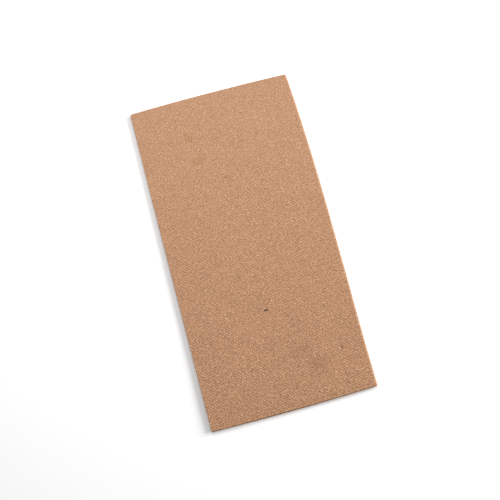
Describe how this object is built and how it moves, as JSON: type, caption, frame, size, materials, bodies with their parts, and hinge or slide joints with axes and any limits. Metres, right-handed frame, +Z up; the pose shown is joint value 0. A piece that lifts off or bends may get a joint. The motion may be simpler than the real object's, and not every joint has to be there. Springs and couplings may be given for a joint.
{
  "type": "paper napkin",
  "caption": "Flat oblong paper napkin: one square sheet of dot-embossed brown tissue, folded in half three times, for wiping and for place settings.",
  "frame": {"origin": "middle of the underside of the folded napkin, on the surface that it lies on", "axes": "+X across the folded napkin, towards the spine fold; +Y along it, towards the short edge that is a fold; +Z up through its thickness"},
  "size_m": [0.1, 0.2, 0.0023],
  "materials": {
    "kraft_tissue": "matt unbleached brown tissue, embossed all over with small staggered dots"
  },
  "bodies": {
    "root": {"napkin": "kraft_tissue"}
  },
  "joints": []
}
